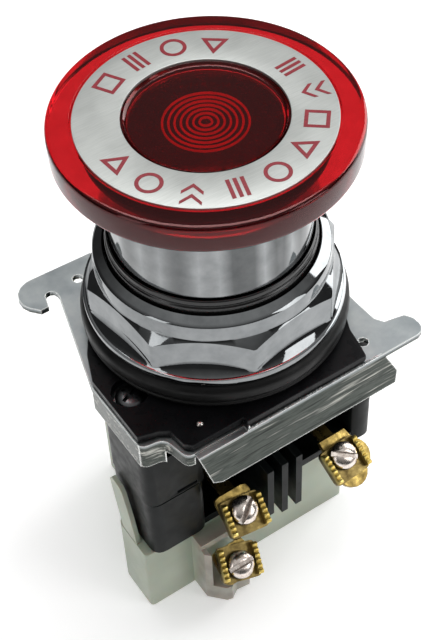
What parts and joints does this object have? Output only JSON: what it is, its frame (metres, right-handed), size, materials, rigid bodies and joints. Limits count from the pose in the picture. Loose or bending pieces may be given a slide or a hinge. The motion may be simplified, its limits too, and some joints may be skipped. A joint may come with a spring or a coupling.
{
  "type": "emergency stop button",
  "caption": "Illuminated push-pull mushroom head stop button with octagonal panel nut, gasket, latch plate, light unit, contact block and wire clamps.",
  "frame": {"origin": "on the operator's axis, in the panel face that the nut's flange clamps on to", "axes": "+Z along the axis towards the mushroom head; the front wire clamps face -Y; +X runs along the front strip"},
  "size_m": [0.05, 0.0498, 0.0873],
  "materials": {
    "red_lens": "gloss",
    "legend_plate": "satin",
    "red_diffuser": "gloss",
    "rubber": "satin",
    "chrome": "polished",
    "nylon": "satin",
    "spring_steel": "satin",
    "zinc_casting": "satin",
    "black_plastic": "satin",
    "plated_steel": "satin",
    "phenolic": "semi gloss",
    "lamination": "satin",
    "copper_winding": "lacquered",
    "brass": "satin",
    "lamp_glass": "polished",
    "clear_plastic": "satin, translucent",
    "red_nylon": "satin",
    "silvered_copper": "satin",
    "bright_steel": "polished"
  },
  "bodies": {
    "base": {"operator_bushing": "zinc_casting", "wiper_seal": "rubber", "retaining_nut": "chrome", "panel_gasket": "rubber", "operator_base": "black_plastic", "latch_plate": "plated_steel", "ear_screw_front": "plated_steel", "ear_screw_back": "plated_steel", "light_unit_cover": "phenolic", "light_unit_base": "phenolic", "transformer_core": "lamination", "transformer_coil": "copper_winding", "lamp_socket": "brass", "lamp_cap": "brass", "lamp_bulb": "lamp_glass", "contact_block": "clear_plastic", "contact_spring": "spring_steel", "saddle_x1": "brass", "clamp_screw_x1": "bright_steel", "terminal_strip_x1": "brass", "saddle_x2": "brass", "clamp_screw_x2": "bright_steel", "terminal_strip_x2": "brass", "saddle_front": "brass", "clamp_screw_front": "bright_steel", "fixed_contact_front": "brass", "saddle_back": "brass", "clamp_screw_back": "bright_steel", "fixed_contact_back": "brass"},
    "head": {"mushroom_lens": "red_lens", "legend_ring": "legend_plate", "light_diffuser": "red_diffuser", "lens_seal": "rubber", "plunger_skirt": "chrome", "actuator_tube": "nylon", "retaining_clip": "spring_steel"},
    "contact_slider": {"contact_carrier": "red_nylon", "contact_bridge": "silvered_copper", "pusher_frame": "nylon"}
  },
  "joints": [
    {"name": "operator_slide", "type": "slide", "parent": "base", "child": "head", "axis": [0, 0, 1], "range_m": [-0.0058, 0]},
    {"name": "contact_slide", "type": "slide", "parent": "base", "child": "contact_slider", "axis": [0, 0, 1], "range_m": [-0.0058, 0], "deforming": ["contact_spring"]}
  ],
  "couplings": [
    {"joint": "contact_slide", "follows": "operator_slide", "ratio": 1}
  ]
}
